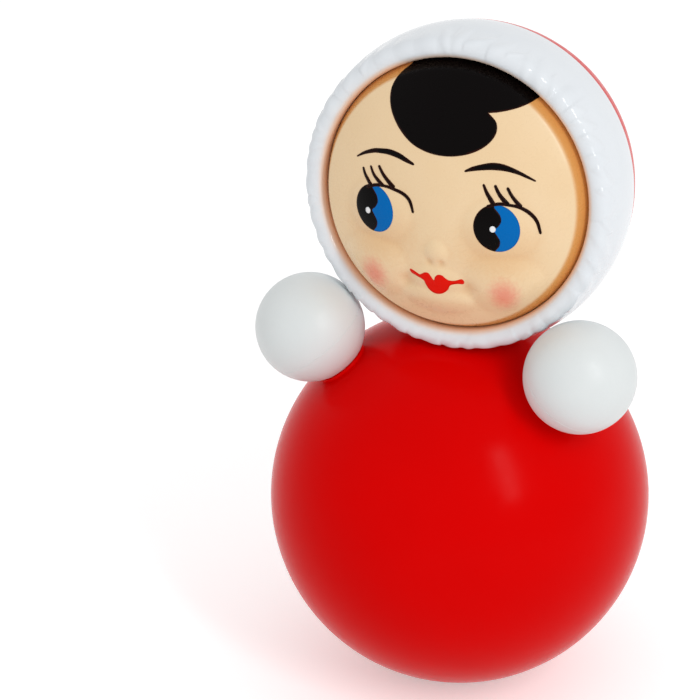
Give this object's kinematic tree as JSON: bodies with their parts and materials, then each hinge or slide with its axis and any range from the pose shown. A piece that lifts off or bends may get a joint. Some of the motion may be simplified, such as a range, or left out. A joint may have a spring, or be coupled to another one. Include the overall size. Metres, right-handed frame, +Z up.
{
  "type": "roly-poly doll",
  "caption": "Self-righting baby toy: a weighted red ball body with a chime inside, a round turning head in a white bonnet, and white ball hands.",
  "frame": {"origin": "on the floor, under the middle of the ball body", "axes": "+Z up, the face looks along -Y, +X to the viewer's right"},
  "size_m": [0.1172, 0.116, 0.2073],
  "materials": {
    "red_plastic": "glossy moulded",
    "white_plastic": "glossy moulded",
    "hand_plastic": "satin moulded",
    "face_plastic": "glossy, painted by hand",
    "natural_plastic": "plain moulded",
    "iron": "as cast",
    "steel": "bright drawn",
    "brass": "turned"
  },
  "bodies": {
    "body": {"body_lower_shell": "red_plastic", "body_upper_shell": "red_plastic", "ballast_weight": "iron", "ballast_screw": "steel", "ballast_washer": "steel", "chime_base": "steel", "tone_rod_1": "steel", "tone_rod_2": "steel", "tone_rod_3": "steel", "tone_rod_4": "steel", "neck_bush": "natural_plastic", "hanger_pin": "steel", "sleeve_left": "red_plastic", "sleeve_right": "red_plastic", "hand_retainer_left": "natural_plastic", "hand_retainer_right": "natural_plastic"},
    "head": {"hood_shell": "red_plastic", "bonnet_shell": "white_plastic", "face_plate": "face_plastic", "neck_screw": "steel", "neck_washer": "steel"},
    "hand_left": {"hand_inner_left": "hand_plastic", "hand_outer_left": "hand_plastic"},
    "hand_right": {"hand_inner_right": "hand_plastic", "hand_outer_right": "hand_plastic"},
    "link": {"striker_link": "natural_plastic", "link_pin": "steel"},
    "striker": {"striker_rod": "steel", "striker_bob": "brass"}
  },
  "joints": [
    {"name": "head_turn", "type": "hinge", "parent": "body", "child": "head", "pos_m": [0, 0, 0.114], "axis": [0, 0, 1], "continuous": true},
    {"name": "hand_left_turn", "type": "hinge", "parent": "body", "child": "hand_left", "pos_m": [0, 0, 0.05758], "axis": [-0.5803, -0.2584, 0.7724], "continuous": true},
    {"name": "hand_right_turn", "type": "hinge", "parent": "body", "child": "hand_right", "pos_m": [0, 0, 0.05758], "axis": [0.5803, -0.2584, 0.7724], "continuous": true},
    {"name": "link_swing", "type": "hinge", "parent": "body", "child": "link", "pos_m": [0, 0, 0.0939], "axis": [1, 0, 0], "range_deg": [-18, 18]},
    {"name": "striker_swing", "type": "hinge", "parent": "link", "child": "striker", "pos_m": [0, 0, 0.0839], "axis": [0, 1, 0], "range_deg": [-23, 23]}
  ]
}
